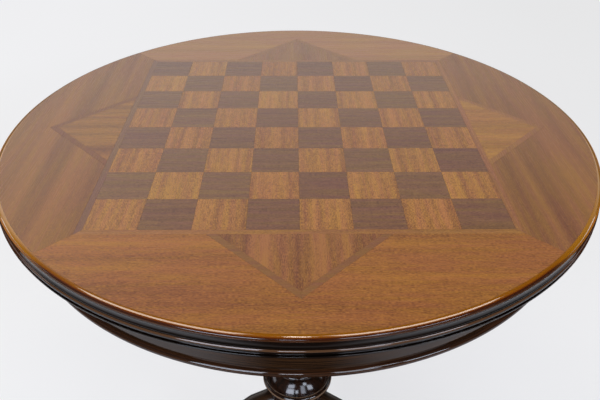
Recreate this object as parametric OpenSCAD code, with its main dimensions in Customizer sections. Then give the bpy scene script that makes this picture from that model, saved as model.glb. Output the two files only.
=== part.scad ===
// Round games table: a marquetry chessboard inside an eight-pointed star, on a top with a moulded
// edge and an apron, carried by a turned column and three cabriole legs.
// Millimetres. The origin is on the floor under the column's axis, +Z is up and a player sits at -Y.

/* [Overall] */
// Height of the playing surface above the floor
table_h = 700; // [680:5:740]
// Diameter over the moulded edge of the top
top_d = 606; // [596:2:630]
// Turn of the pedestal against the chessboard, in degrees
base_turn = -4; // [-60:1:60]

/* [Marquetry] */
// Side of one chess square
square_w = 45; // [40:0.5:46]
// Width of the stringing round the board and the star
string_w = 6; // [4:0.5:7]
// Thickness of the sawn veneer
veneer_t = 1; // [0.6:0.1:1.2]
// Glue line between neighbouring pieces of wood
glue_line = 0.1; // [0.05:0.05:0.2]

/* [Top] */
// Thickness of the top at its edge
top_t = 18; // [18:0.5:22]
// Width of the lipping let in round the veneers
lip_w = 3.8; // [3.4:0.2:6]
// Thickness of the lipping over the edge moulding
lip_t = 2.4; // [2.2:0.2:2.6]
// Radius of the lipping's rounded outer edge
nose_r = 1.4; // [1:0.1:1.6]
// Radius of the bead on the edge moulding
bead_r = 2.6; // [2.2:0.1:2.7]

/* [Apron] */
// Overhang of the top past the apron
overhang = 24; // [18:1:30]
// Height of the apron under the top
apron_h = 46; // [46:1:60]
// Thickness of the apron's bricks
brick_t = 20; // [16:1:26]
// Height of the bead on the apron's lower edge
apron_bead_h = 6.4; // [5:0.2:8]

/* [Column] */
// Height of the collar's lower face above the floor
collar_z = 299; // [290:1:306]
// Radius of the collar
collar_r = 48.5; // [46:0.5:52]
// Radius of the hub that carries the legs
hub_r = 43; // [42:0.5:44]
// Height of the hub's lower face above the floor
hub_z = 190; // [186:1:194]

/* [Legs] */
// Radius that the toes reach from the column's axis
leg_reach = 286; // [270:1:290]
// Width of a leg where it meets the hub
leg_w = 40; // [36:1:44]
// Width of the pad foot
foot_w = 52; // [44:1:56]
// Height of the glides under the feet
glide_h = 4; // [3:0.5:6]

/* [Hidden] */
$fn = 96;
eps = 1;

// Radii of the top
top_r = top_d / 2;
lip_set = 2;
lip_out = top_r - lip_set;
nose_w = nose_r - 0.1;
veneer_r = lip_out - lip_w;
lip_tongue = 9;
lip_in = veneer_r - lip_tongue;
core_r = top_r - 28;

// Levels of the top, from the playing surface down
veneer_z = table_h - veneer_t;
lip_z = table_h - lip_t;
under_z = table_h - top_t;
backing_t = 1;

// Edge moulding, from the lipping down: a shallow hollow, a bead between two quirks and a square fillet
hollow_h = 6.2;
hollow_depth = 0.8;
hollow_r = (hollow_h * hollow_h / 4 + hollow_depth * hollow_depth) / (2 * hollow_depth);
band_r = top_r - 0.8;
band_edge = 0.4;
band_h = hollow_h + 2 * band_edge;
quirk_h = 0.5;
low_quirk_h = 1.4;
ground_r = top_r - bead_r + 0.2;
hollow_z = lip_z - band_h / 2;
bead_z = lip_z - band_h - quirk_h - bead_r;
fillet_z = bead_z - bead_r - low_quirk_h;
fillet_r = top_r - 0.2;

// Marquetry: the board, its border and the star that a second, turned square of equal size makes
board_half = 4 * square_w;
border_half = board_half + string_w;
star_r = border_half * sqrt(2);
star_in = star_r - string_w * sqrt(2);
half_glue = glue_line / 2;
mitre_glue = glue_line / sqrt(2);
sides = [0, 90, 180, 270];

// Apron
apron_r = top_r - overhang;
frieze_t = 1.2;
brick_r = apron_r - frieze_t;
brick_in = brick_r - brick_t;
apron_z = under_z - apron_h;
courses = 2;
bricks = 8;
bead_out = 3.3;
frieze_z = apron_z + apron_bead_h;

// Bearers and head block under the top
bearer_w = 56;
bearer_t = 20;
bearer_x = 60;
bearer_z = under_z - bearer_t;
head_w = 184;
head_t = 22;
head_z = bearer_z - head_t;
head_corner = 30;
block_w = 22;
block_deg = 12;
block_angles = [-50, -25, 0, 25, 50, 90, 130, 155, 180, 205, 230, 270];

// Screws: head radius and shank radius, and where each group goes
screw_head_r = 4;
screw_r = 2;
bearer_screw_l = 31;
head_screw_l = 37;
spider_screw_l = 24;
bearer_screw_spots = [for (x = [-bearer_x, bearer_x], y = [-210, -130, 130, 210]) [x, y]];
head_screw_spots = [for (x = [-bearer_x, bearer_x], dx = [-16, 16], y = [-65, 65]) [x + dx, y]];

// Column, from the hub up
tenon_r = 20;
shaft_tenon_r = 15;
fit = 0.1;
collar_h = 12;
dome_z = collar_z + collar_h;
dome_r = 44;
dome_foot_h = 3;
dome_foot_out = 1.5;
dome_ball_r = 52;
dome_ball_z = dome_z + dome_foot_h - sqrt(dome_ball_r * dome_ball_r - dome_r * dome_r);
dome_neck_r = 32;
dome_neck_z = dome_ball_z + sqrt(dome_ball_r * dome_ball_r - dome_neck_r * dome_neck_r);
neck_bead_r = 4;
neck_bead_out = 32.5;
neck_bead_sink = 0.6;
neck_fillet_h = 1;
shaft_z = dome_neck_z - neck_bead_sink + 2 * neck_bead_r + neck_fillet_h;
mortise_h = 24;

// Tie rod through the whole column
rod_r = 5;
rod_bore_r = 5.5;
nut_h = 8;
nut_r = 9.8;
washer_t = 2.5;
washer_r = 15;
head_washer_r = 26;
nut_well_r = 16;
nut_well_h = 14;

// Legs: a dovetail tongue into the hub, a knee and a pad foot
leg_angles = [90 + base_turn, 210 + base_turn, 330 + base_turn];
leg_top = collar_z - 5;
leg_root_r = 30;
leg_mid_z = (leg_top + hub_z) / 2;
foot_mid_z = 15;
leg_line = [[leg_root_r, leg_mid_z], [150, leg_mid_z + 16], [165, -foot_mid_z], [leg_reach, foot_mid_z]];
leg_depths = [leg_top - hub_z + 4, 95, 8, 30];
leg_widths = [leg_w, 44, 22, 30];
foot_start = 0.78;
toe_start = 0.93;
leg_rings = 26;
toe_rings = 8;
leg_sides = 20;
section_power = 2.6;
tongue_in = 24;
tongue_in_w = 23;
tongue_neck_w = 16;
tongue_top = leg_top - 14;

// Iron plate under the hub
plate_t = 3;
plate_arm_r = 68;
plate_arm_w = 24;
plate_hub_r = 34;
spider_spots = [34, 58];

glide_r = 11;
glide_x = 262;

// Cubic curve through the control values p at t, and its slope
function curve(p, t) =
    pow(1 - t, 3) * p[0] + 3 * pow(1 - t, 2) * t * p[1] + 3 * (1 - t) * t * t * p[2] + pow(t, 3) * p[3];
function slope(p, t) =
    3 * (pow(1 - t, 2) * (p[1] - p[0]) + 2 * (1 - t) * t * (p[2] - p[1]) + t * t * (p[3] - p[2]));
function smooth(a, b, t) =
    let (u = min(1, max(0, (t - a) / (b - a)))) u * u * (3 - 2 * u);
function superpower(v) = sign(v) * pow(abs(v), 2 / section_power);

// A leg's section at t: its depth and width, drawn in to a round nose at the toe
function toe_shrink(t) = t <= toe_start ? 1 : max(0.1, sqrt(1 - pow((t - toe_start) / (1 - toe_start), 2)));
function leg_depth(t) = curve(leg_depths, t) * toe_shrink(t);
function leg_width(t) =
    (curve(leg_widths, t) + (foot_w - leg_widths[3]) * smooth(foot_start, toe_start, t)) * toe_shrink(t);
function leg_ring(t) =
    let (c = curve(leg_line, t), s = slope(leg_line, t), up = [-s[1], s[0]] / norm(s))
    [for (k = [0 : leg_sides - 1])
        let (a = 360 * k / leg_sides, v = superpower(sin(a)) * leg_depth(t) / 2)
        [c[0] + up[0] * v, superpower(cos(a)) * leg_width(t) / 2, c[1] + up[1] * v]];
leg_steps = concat(
    [for (i = [0 : leg_rings]) toe_start * i / leg_rings],
    [for (i = [1 : toe_rings]) toe_start + (1 - toe_start) * sin(90 * i / toe_rings)]);

module leg_loft() {
    n = leg_sides;
    last = len(leg_steps) - 1;
    points = [for (t = leg_steps) each leg_ring(t)];
    walls = [for (i = [0 : last - 1], k = [0 : n - 1])
        each [[i * n + k, (i + 1) * n + k, i * n + (k + 1) % n],
              [i * n + (k + 1) % n, (i + 1) * n + k, (i + 1) * n + (k + 1) % n]]];
    root = [[for (k = [0 : n - 1]) k]];
    toe = [[for (k = [0 : n - 1]) last * n + n - 1 - k]];
    polyhedron(points = points, faces = concat(walls, root, toe), convexity = 6);
}

// Outline of a countersunk wood screw pointing up, with its head flush at z = 0
module screw_profile(length, grow) {
    head_h = screw_head_r - screw_r;
    tip_h = 5;
    tip_r = 0.4;
    polygon([[0, 0], [screw_head_r + grow, 0], [screw_r + grow, head_h], [screw_r + grow, length - tip_h],
             [tip_r + grow, length + grow], [0, length + grow]]);
}

// Room for a wood screw: its own shape with a little clearance
module screw_hole(length) {
    rotate_extrude()
        screw_profile(length, fit);
}

// Slotted wood screw
module wood_screw(length) {
    slot_w = 1.1;
    slot_h = 1.3;
    difference() {
        rotate_extrude()
            screw_profile(length, 0);
        translate([-screw_head_r - eps, -slot_w / 2, -eps])
            cube([2 * (screw_head_r + eps), slot_w, slot_h + eps]);
    }
}

// A sheet of face veneer in its place on the core
module veneer() {
    translate([0, 0, veneer_z])
        linear_extrude(veneer_t)
            children();
}

// Short lengths of one turned profile, set round the axis with a glue line between them
module ring_lengths(count, start = 0) {
    gap = glue_line / apron_r * 180 / PI;
    for (i = [0 : count - 1])
        rotate(start + i * 360 / count + gap / 2)
            rotate_extrude(angle = 360 / count - gap)
                children();
}

module top_core() {
    color("burlywood")
        difference() {
            translate([0, 0, under_z + backing_t])
                cylinder(r = core_r, h = top_t - backing_t - veneer_t);
            for (p = bearer_screw_spots)
                translate([p[0], p[1], bearer_z])
                    screw_hole(bearer_screw_l);
        }
}

module backing_veneer() {
    color("tan")
        difference() {
            translate([0, 0, under_z])
                cylinder(r = core_r, h = backing_t);
            for (p = bearer_screw_spots)
                translate([p[0], p[1], bearer_z])
                    screw_hole(bearer_screw_l);
        }
}

// Section of the lipping: it stands back from the moulding, and its thin tongue reaches in under the veneers
module lip_profile() {
    nose_x = lip_out - nose_w;
    nose_z = table_h - nose_r;
    difference() {
        translate([lip_in, lip_z])
            square([lip_out - lip_in, lip_t]);
        translate([lip_in - eps, veneer_z])
            square([lip_tongue + eps, veneer_t + eps]);
        difference() {
            translate([nose_x, nose_z])
                square([nose_w + eps, nose_r + eps]);
            translate([nose_x, nose_z])
                circle(r = nose_r);
        }
    }
}

module top_lipping() {
    color("darkgoldenrod")
        ring_lengths(6)
            lip_profile();
}

module edge_profile() {
    inner_r = core_r + half_glue;
    difference() {
        translate([inner_r, lip_z - band_h])
            square([band_r - inner_r, band_h]);
        translate([band_r - hollow_depth + hollow_r, hollow_z])
            circle(r = hollow_r);
    }
    translate([inner_r, under_z])
        square([ground_r - inner_r, top_t - lip_t]);
    translate([inner_r, under_z])
        square([lip_in - half_glue - inner_r, top_t - veneer_t]);
    translate([top_r - bead_r, bead_z])
        circle(r = bead_r);
    translate([inner_r, under_z])
        square([fillet_r - inner_r, fillet_z - under_z]);
}

module edge_moulding() {
    color("#2a150c")
        ring_lengths(6, 30)
            edge_profile();
}

module chess_squares(parity) {
    veneer()
        for (i = [0 : 7], j = [0 : 7])
            if ((i + j) % 2 == parity)
                translate([i * square_w - board_half + half_glue, j * square_w - board_half + half_glue])
                    square(square_w - glue_line);
}

module light_squares() {
    color("#b07c4a")
        chess_squares(0);
}

module dark_squares() {
    color("#6e4634")
        chess_squares(1);
}

// Mitred strip along the board's near side
module border_strip() {
    near = board_half + half_glue;
    far = border_half - half_glue;
    color("#8a5a36")
        veneer()
            polygon([[-near + mitre_glue, -near], [near - mitre_glue, -near],
                     [far - mitre_glue, -far], [-far + mitre_glue, -far]]);
}

// Triangle of veneer inside the stringing of the star's near point
module star_point() {
    base = border_half + half_glue;
    tip = star_in - mitre_glue;
    color("#a8733f")
        veneer()
            polygon([[base - tip, -base], [tip - base, -base], [0, -tip]]);
}

// The two strips that edge the star's near point, mitred at the tip
module star_stringing() {
    base = border_half + half_glue;
    tip = star_r - mitre_glue;
    color("#70452a")
        veneer()
            for (side = [0, 1])
                mirror([side, 0])
                    polygon([[star_in - base, -base], [tip - base, -base],
                             [half_glue, half_glue - tip], [half_glue, half_glue - star_in]]);
}

// Quarter of the surround, between two mitres, with the star's near point cut out of it
module surround() {
    base = border_half + half_glue;
    tip = star_r + mitre_glue;
    color("#9a6a42")
        veneer()
            difference() {
                intersection() {
                    circle(r = veneer_r - half_glue, $fn = 180);
                    polygon([[0, -mitre_glue], [top_r, -mitre_glue - top_r], [-top_r, -mitre_glue - top_r]]);
                }
                square(2 * base, center = true);
                polygon([[0, -tip], [tip, 0], [-tip, 0]]);
            }
}

module apron_bricks() {
    course_h = apron_h / courses;
    color("peru")
        for (c = [0 : courses - 1])
            ring_lengths(bricks, c * 180 / bricks)
                translate([brick_in, apron_z + c * course_h])
                    square([brick_t - half_glue, course_h - (c < courses - 1 ? glue_line : 0)]);
}

module frieze_veneer() {
    color("#2a150c")
        translate([0, 0, frieze_z])
            difference() {
                cylinder(r = apron_r, h = apron_h - apron_bead_h, $fn = 180);
                translate([0, 0, -eps])
                    cylinder(r = brick_r, h = apron_h + 2 * eps, $fn = 180);
            }
}

module apron_bead() {
    color("#2a150c")
        rotate_extrude($fn = 180)
            intersection() {
                translate([brick_r, apron_z])
                    square([frieze_t + bead_out + eps, apron_bead_h - glue_line]);
                translate([apron_r + bead_out - apron_bead_h / 2, apron_z + apron_bead_h / 2])
                    union() {
                        circle(r = apron_bead_h / 2);
                        translate([-apron_bead_h, -apron_bead_h / 2])
                            square([apron_bead_h, apron_bead_h]);
                    }
            }
}

module glue_blocks() {
    color("wheat")
        for (a = block_angles)
            rotate(a - block_deg / 2)
                rotate_extrude(angle = block_deg)
                    polygon([[brick_in - fit, under_z], [brick_in - fit, under_z - block_w],
                             [brick_in - block_w, under_z]]);
}

module bearer(x) {
    color("sandybrown")
        difference() {
            intersection() {
                translate([x - bearer_w / 2, -top_r, bearer_z])
                    cube([bearer_w, top_d, bearer_t]);
                cylinder(r = brick_in - fit, h = table_h);
            }
            for (p = bearer_screw_spots)
                translate([p[0], p[1], bearer_z])
                    screw_hole(bearer_screw_l);
            for (p = head_screw_spots)
                translate([p[0], p[1], head_z])
                    screw_hole(head_screw_l);
        }
}

module bearer_screws() {
    color("silver")
        for (p = bearer_screw_spots)
            translate([p[0], p[1], bearer_z])
                wood_screw(bearer_screw_l);
}

module head_block() {
    half = head_w / 2;
    cut = half - head_corner;
    color("sienna")
        difference() {
            translate([0, 0, head_z])
                linear_extrude(head_t)
                    polygon([[-cut, -half], [cut, -half], [half, -cut], [half, cut],
                             [cut, half], [-cut, half], [-half, cut], [-half, -cut]]);
            translate([0, 0, head_z - eps])
                cylinder(r = tenon_r + fit, h = head_t + 2 * eps);
            for (p = head_screw_spots)
                translate([p[0], p[1], head_z])
                    screw_hole(head_screw_l);
        }
}

module head_block_screws() {
    color("silver")
        for (p = head_screw_spots)
            translate([p[0], p[1], head_z])
                wood_screw(head_screw_l);
}

// Half-round bead on a turned profile
module turned_bead(r, z, bead) {
    translate([r - bead, z])
        circle(r = bead, $fn = 48);
}

// Outline of the column from its lower tenon to its upper one: a vase between two beaded necks
module shaft_profile() {
    low = shaft_z;
    high = head_z;
    belly = [[23, low + 18], [58, low + 70], [14, high - 150], [21, high - 62]];
    flare = [[24.5, high - 42], [24.5, high - 22], [29, high - 14], [38, high - 12]];
    difference() {
        union() {
            polygon(concat(
                [[0, low - mortise_h + 2], [shaft_tenon_r, low - mortise_h + 2], [shaft_tenon_r, low],
                 [28, low], [28, low + 4], [26.5, low + 4], [26.5, low + 18]],
                [for (i = [0 : 28]) curve(belly, i / 28)],
                [[24, high - 62], [24, high - 45], [26, high - 45], [26, high - 42]],
                [for (i = [0 : 8]) curve(flare, i / 8)],
                [[39, high - 12], [40, high - 11], [40, high - 2], [38, high], [tenon_r, high],
                 [tenon_r, high + head_t], [0, high + head_t]]));
            turned_bead(31.5, low + 11, 5.5);
            turned_bead(29, high - 53, 5.5);
        }
        translate([-rod_bore_r, 0])
            square([2 * rod_bore_r, table_h]);
    }
}

module column_shaft() {
    color("#3a1d10")
        rotate_extrude()
            shaft_profile();
}

// The dome under the vase: a low cap with a bead round its neck and a tenon through the collar into the hub
module column_dome() {
    arc_z = dome_z + dome_foot_h;
    color("#3a1d10")
        difference() {
            rotate_extrude()
                union() {
                    translate([0, dome_z])
                        square([dome_r + dome_foot_out, dome_foot_h]);
                    intersection() {
                        translate([0, dome_ball_z])
                            circle(r = dome_ball_r);
                        translate([0, arc_z])
                            square([dome_r + eps, dome_neck_z - arc_z]);
                    }
                    turned_bead(neck_bead_out, dome_neck_z - neck_bead_sink + neck_bead_r, neck_bead_r);
                    translate([0, arc_z])
                        square([neck_bead_out - neck_bead_r, shaft_z - arc_z]);
                    translate([0, collar_z - mortise_h])
                        square([tenon_r, collar_h + mortise_h]);
                }
            translate([0, 0, shaft_z - mortise_h])
                cylinder(r = shaft_tenon_r + fit, h = mortise_h + eps);
            translate([0, 0, collar_z - mortise_h - eps])
                cylinder(r = rod_bore_r, h = table_h);
        }
}

module column_collar() {
    color("#3a1d10")
        rotate_extrude()
            union() {
                turned_bead(collar_r, collar_z + collar_h / 2, collar_h / 2);
                translate([tenon_r + fit, collar_z])
                    square([collar_r - collar_h / 2 - tenon_r - fit, collar_h]);
            }
}

// Plan of a leg's dovetail; grow widens it to the slot that takes it
module dovetail(grow = 0) {
    polygon([[tongue_in - grow, -tongue_in_w / 2 - grow], [hub_r, -tongue_neck_w / 2 - grow],
             [hub_r + 4, -tongue_neck_w / 2 - grow], [hub_r + 4, tongue_neck_w / 2 + grow],
             [hub_r, tongue_neck_w / 2 + grow], [tongue_in - grow, tongue_in_w / 2 + grow]]);
}

module leg_hub() {
    color("#3a1d10")
        difference() {
            translate([0, 0, hub_z])
                cylinder(r = hub_r, h = collar_z - hub_z);
            translate([0, 0, collar_z - mortise_h - 1])
                cylinder(r = tenon_r + fit, h = mortise_h + 1 + eps);
            cylinder(r = rod_bore_r, h = table_h);
            translate([0, 0, hub_z - eps])
                cylinder(r = nut_well_r, h = nut_well_h + eps);
            for (a = leg_angles)
                rotate(a)
                    translate([0, 0, hub_z - eps])
                        linear_extrude(tongue_top - hub_z + eps + fit)
                            dovetail(fit);
        }
}

module tie_rod() {
    low = hub_z + nut_well_h - washer_t - nut_h - 2;
    high = head_z + head_t + washer_t + nut_h + 3;
    color("silver")
        translate([0, 0, low])
            cylinder(r = rod_r, h = high - low);
}

module nut() {
    difference() {
        cylinder(r = nut_r, h = nut_h, $fn = 6);
        translate([0, 0, -eps])
            cylinder(r = rod_r + 0.02, h = nut_h + 2 * eps);
    }
}

module washer(r) {
    difference() {
        cylinder(r = r, h = washer_t);
        translate([0, 0, -eps])
            cylinder(r = rod_bore_r, h = washer_t + 2 * eps);
    }
}

module tie_rod_nuts() {
    color("silver") {
        translate([0, 0, head_z + head_t + washer_t])
            nut();
        translate([0, 0, hub_z + nut_well_h - washer_t - nut_h])
            nut();
    }
}

module tie_rod_washers() {
    color("silver") {
        translate([0, 0, head_z + head_t])
            washer(head_washer_r);
        translate([0, 0, hub_z + nut_well_h - washer_t])
            washer(washer_r);
    }
}

// Cabriole leg along +X: the loft is cut to the hub's curve and to the floor, and gains its tongue
module leg(angle) {
    color("#3f2114")
        rotate(angle)
            difference() {
                union() {
                    difference() {
                        leg_loft();
                        cylinder(r = hub_r + fit, h = table_h);
                        translate([0, -foot_w, glide_h - 50])
                            cube([leg_reach + eps, 2 * foot_w, 50]);
                    }
                    translate([0, 0, hub_z])
                        linear_extrude(tongue_top - hub_z)
                            dovetail();
                }
                translate([0, -plate_arm_w / 2 - fit, hub_z - 20])
                    cube([plate_arm_r + fit, plate_arm_w + 2 * fit, 20]);
                for (x = spider_spots)
                    translate([x, 0, hub_z - plate_t])
                        screw_hole(spider_screw_l);
                translate([glide_x, 0, 0])
                    glide(fit);
            }
}

module spider_plate() {
    color("dimgray")
        difference() {
            translate([0, 0, hub_z - plate_t])
                linear_extrude(plate_t)
                    difference() {
                        union() {
                            circle(r = plate_hub_r);
                            for (a = leg_angles)
                                rotate(a)
                                    translate([0, -plate_arm_w / 2])
                                        square([plate_arm_r, plate_arm_w]);
                        }
                        circle(r = nut_well_r + 1);
                    }
            for (a = leg_angles, x = spider_spots)
                rotate(a)
                    translate([x, 0, hub_z - plate_t])
                        screw_hole(spider_screw_l);
        }
}

module spider_screws() {
    color("silver")
        for (a = leg_angles, x = spider_spots)
            rotate(a)
                translate([x, 0, hub_z - plate_t])
                    wood_screw(spider_screw_l);
}

// Nail glide: a domed disc with its nail, sunk into the sole; grow widens it to its own hole
module glide(grow = 0) {
    nail_r = 1.6;
    nail_h = 12;
    rotate_extrude()
        polygon([[0, 0], [glide_r - 3, 0], [glide_r - 1, 0.8], [glide_r, 2], [glide_r, glide_h],
                 [nail_r + grow, glide_h], [nail_r + grow, glide_h + nail_h + grow],
                 [0, glide_h + nail_h + grow]]);
}

module foot_glides() {
    color("gray")
        for (a = leg_angles)
            rotate(a)
                translate([glide_x, 0, 0])
                    glide();
}

top_core();
backing_veneer();
top_lipping();
edge_moulding();
light_squares();
dark_squares();
rotate(sides[0]) border_strip();  // border_strip_front
rotate(sides[1]) border_strip();  // border_strip_right
rotate(sides[2]) border_strip();  // border_strip_back
rotate(sides[3]) border_strip();  // border_strip_left
rotate(sides[0]) star_point();  // star_point_front
rotate(sides[1]) star_point();  // star_point_right
rotate(sides[2]) star_point();  // star_point_back
rotate(sides[3]) star_point();  // star_point_left
rotate(sides[0]) star_stringing();  // star_stringing_front
rotate(sides[1]) star_stringing();  // star_stringing_right
rotate(sides[2]) star_stringing();  // star_stringing_back
rotate(sides[3]) star_stringing();  // star_stringing_left
rotate(sides[0]) surround();  // surround_front
rotate(sides[1]) surround();  // surround_right
rotate(sides[2]) surround();  // surround_back
rotate(sides[3]) surround();  // surround_left
apron_bricks();
frieze_veneer();
apron_bead();
glue_blocks();
bearer(-bearer_x);  // bearer_left
bearer(bearer_x);  // bearer_right
bearer_screws();
head_block();
head_block_screws();
column_shaft();
column_dome();
column_collar();
leg_hub();
tie_rod();
tie_rod_nuts();
tie_rod_washers();
leg(leg_angles[0]);  // leg_back
leg(leg_angles[1]);  // leg_front_left
leg(leg_angles[2]);  // leg_front_right
spider_plate();
spider_screws();
foot_glides();
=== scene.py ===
# %% [markdown]
# # A round games table
# The table has a marquetry chessboard inside an eight-pointed star, a moulded edge, an apron with a bead,
# a turned column and three cabriole legs. The construction model is loaded as a fixed frame: every piece
# of wood is already there at its real size. This lesson dresses it. Sawn veneers keep their flat sheets
# and get a finish. Turned and moulded pieces are drawn again as smooth surfaces, because gloss varnish
# shows every facet.

# %% Load the frame
import math

import bpy
import numpy as np
from mathutils import Matrix, Vector


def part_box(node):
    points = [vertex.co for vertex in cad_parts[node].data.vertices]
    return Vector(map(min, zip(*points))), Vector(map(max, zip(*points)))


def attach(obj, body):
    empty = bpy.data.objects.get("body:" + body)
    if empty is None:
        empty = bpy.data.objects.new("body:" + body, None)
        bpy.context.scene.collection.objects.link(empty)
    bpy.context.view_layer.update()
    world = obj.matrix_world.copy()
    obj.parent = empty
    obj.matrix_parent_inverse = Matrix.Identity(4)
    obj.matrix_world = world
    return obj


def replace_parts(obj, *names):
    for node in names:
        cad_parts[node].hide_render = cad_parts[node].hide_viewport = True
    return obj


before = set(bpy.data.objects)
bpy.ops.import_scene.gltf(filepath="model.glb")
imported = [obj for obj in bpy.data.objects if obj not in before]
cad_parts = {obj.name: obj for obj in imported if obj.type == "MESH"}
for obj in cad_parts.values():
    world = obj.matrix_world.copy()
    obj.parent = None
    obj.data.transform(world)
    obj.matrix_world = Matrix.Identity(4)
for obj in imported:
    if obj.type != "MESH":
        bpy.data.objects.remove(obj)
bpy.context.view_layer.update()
scene = bpy.context.scene
scene.view_settings.view_transform = "Standard"
MM = 0.001
print("nodes in the frame:", len(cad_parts))

# %% [markdown]
# ## The camera
# The picture looks down on the board from a player's chair. The camera could be turned by hand until it
# seems right. Here the eye, the point looked at and the lens follow from how the board's straight lines
# run together, so the camera is set once.

# %% Camera over the player's side
EYE = Vector((-0.0057, -0.5978, 1.0170))
AIM = Vector((0.0005, -0.1368, 0.700))
ROLL = math.radians(0.33)
LENS_MM = 37.90

camera = bpy.data.objects.new("camera", bpy.data.cameras.new("camera"))
scene.collection.objects.link(camera)
camera.data.lens = LENS_MM
look = (AIM - EYE).to_track_quat("-Z", "Y").to_matrix().to_4x4()
camera.matrix_world = Matrix.Translation(EYE) @ look @ Matrix.Rotation(ROLL, 4, "Z")
scene.camera = camera
print("camera to board, m:", round((AIM - EYE).length, 3))

# %% [markdown]
# ## Surfaces from grids of points
# A turned or lofted piece is a grid: one direction runs along a profile, the other goes round. It could be
# spun in the editor, but numpy works out all the points at once, and the mesh takes them with one call.
# The same grid gives the UV map, in metres, so that wood grain can follow the piece. The signed volume
# printed for each piece is positive when its faces point outwards.

# %% Grid to mesh
SHARP = math.radians(38)


def grid_piece(name, points, uv, caps=False):
    """Mesh of a grid of points whose columns close on themselves.

    points is (rows, columns, 3) and uv is (rows + 1, columns + 1, 2), one line longer each way, so that the
    last face of a round doesn't run back to zero. With caps the first and last row are filled; without, the
    rows close too.
    """
    rows, columns = points.shape[:2]
    i, j = np.meshgrid(np.arange(rows - caps), np.arange(columns), indexing="ij")
    row = np.stack([i, i, i + 1, i + 1], -1).reshape(-1, 4)
    column = np.stack([j, j + 1, j + 1, j], -1).reshape(-1, 4)
    faces = ((row % rows) * columns + column % columns).tolist()
    face_uv = uv[row, column].reshape(-1, 2)
    if caps:
        first = np.arange(columns)[::-1]
        last = np.arange(columns) + (rows - 1) * columns
        faces += [first.tolist(), last.tolist()]
        face_uv = np.concatenate([face_uv, uv[0, first], uv[rows - 1, :columns]])
    mesh = bpy.data.meshes.new(name)
    mesh.from_pydata(points.reshape(-1, 3).tolist(), [], faces)
    mesh.uv_layers.new(name="surface").data.foreach_set("uv", face_uv.ravel())
    mesh.shade_smooth()
    mesh.set_sharp_from_angle(angle=SHARP)
    piece = bpy.data.objects.new(name, mesh)
    scene.collection.objects.link(piece)
    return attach(piece, "root")


def volume(piece):
    """Volume in cubic centimetres: each triangle and the origin span a signed pyramid, and they add up."""
    mesh = piece.data
    mesh.calc_loop_triangles()
    spots = np.empty(len(mesh.vertices) * 3)
    mesh.vertices.foreach_get("co", spots)
    corners = np.empty(len(mesh.loop_triangles) * 3, dtype=np.int32)
    mesh.loop_triangles.foreach_get("vertices", corners)
    a, b, c = spots.reshape(-1, 3)[corners.reshape(-1, 3)].transpose(1, 0, 2)
    return (a * np.cross(b, c)).sum() / 6 * 1e6


# %% [markdown]
# ## Profiles
# A turner or a moulding cutter works to a profile: flats, beads, hollows and long curves. Here a profile
# is a list of points in millimetres, radius first and height second, going anticlockwise. Beads and
# hollows are arcs, and vases and flares are cubic curves, because that is how their cutters and gouges
# move.

# %% Arcs and curves
def arc(centre, radius, start, end, count=20):
    """Points on a circle from one angle to another, in degrees."""
    angle = np.radians(np.linspace(start, end, count))
    return np.stack([centre[0] + radius * np.cos(angle), centre[1] + radius * np.sin(angle)], -1)


def bezier(handles, t):
    """Cubic curve: the four handles weighted by the terms of (1 - t + t) cubed."""
    t = np.asarray(t)
    terms = np.stack([(1 - t) ** 3, 3 * (1 - t) ** 2 * t, 3 * (1 - t) * t**2, t**3], -1)
    return terms @ np.asarray(handles, dtype=float)


# %% [markdown]
# ## Eased corners
# Sandpaper and varnish leave no corner truly sharp, and that narrow round is what catches the light. A
# Bevel modifier could cut it. Easing the profile instead does it once, before the profile goes round.

# %% Easing
def eased(profile, radius, turn=24):
    """Closed profile with its sharp corners rounded.

    Each corner that turns by more than the given angle is replaced by a short curve whose middle handle is
    the corner, with one more point on each side so that the flat next to it stays flat in the shading.
    """
    back, on = np.roll(profile, 1, 0) - profile, np.roll(profile, -1, 0) - profile
    back_l, on_l = np.linalg.norm(back, axis=1), np.linalg.norm(on, axis=1)
    straight = -(back * on).sum(1) / (back_l * on_l)
    trim = np.minimum(radius, 0.3 * np.minimum(back_l, on_l))
    trim = np.where(straight < math.cos(math.radians(turn)), trim, 0)
    start = profile + back * (trim / back_l)[:, None]
    end = profile + on * (trim / on_l)[:, None]
    t = np.linspace(0, 1, 6)[None, :, None]
    curve = (1 - t) ** 2 * start[:, None] + 2 * t * (1 - t) * profile[:, None] + t**2 * end[:, None]
    before = profile + back * (1.5 * trim / back_l)[:, None]
    after = profile + on * (1.5 * trim / on_l)[:, None]
    points = np.concatenate([before[:, None], curve, after[:, None]], 1).reshape(-1, 2)
    step = np.linalg.norm(points - np.roll(points, 1, 0), axis=1)
    return points[step > 1e-6]


# %% [markdown]
# ## Turning
# On the lathe the wood turns under the tool. Here the eased profile goes round the upright axis, and the
# UV map is the turned surface unrolled: metres round the piece, and metres along the profile.

# %% Turned piece
def turned(name, node, profile, ease=0.4, steps=192):
    """Surface of revolution: the profile point (r, z) at angle a stands at (r cos a, r sin a, z)."""
    profile = eased(np.concatenate([np.atleast_2d(p) for p in profile]), ease) * MM
    angle = np.linspace(0, 2 * math.pi, steps, endpoint=False)
    r, z = profile[:, :1], profile[:, 1:]
    points = np.stack([r * np.cos(angle), r * np.sin(angle), np.broadcast_to(z, (len(z), steps))], -1)
    run = np.linalg.norm(np.roll(profile, -1, 0) - profile, axis=1)
    along = np.concatenate([[0], np.cumsum(run)])
    around = np.linspace(0, 2 * math.pi, steps + 1) * profile[:, 0].max()
    uv = np.stack(np.broadcast_arrays(around[None, :], along[:, None]), -1)
    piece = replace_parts(grid_piece(name, points, uv), node)
    print(f"{name}: {len(profile)} x {steps} points, {volume(piece):.1f} cm3")
    return piece


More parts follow.
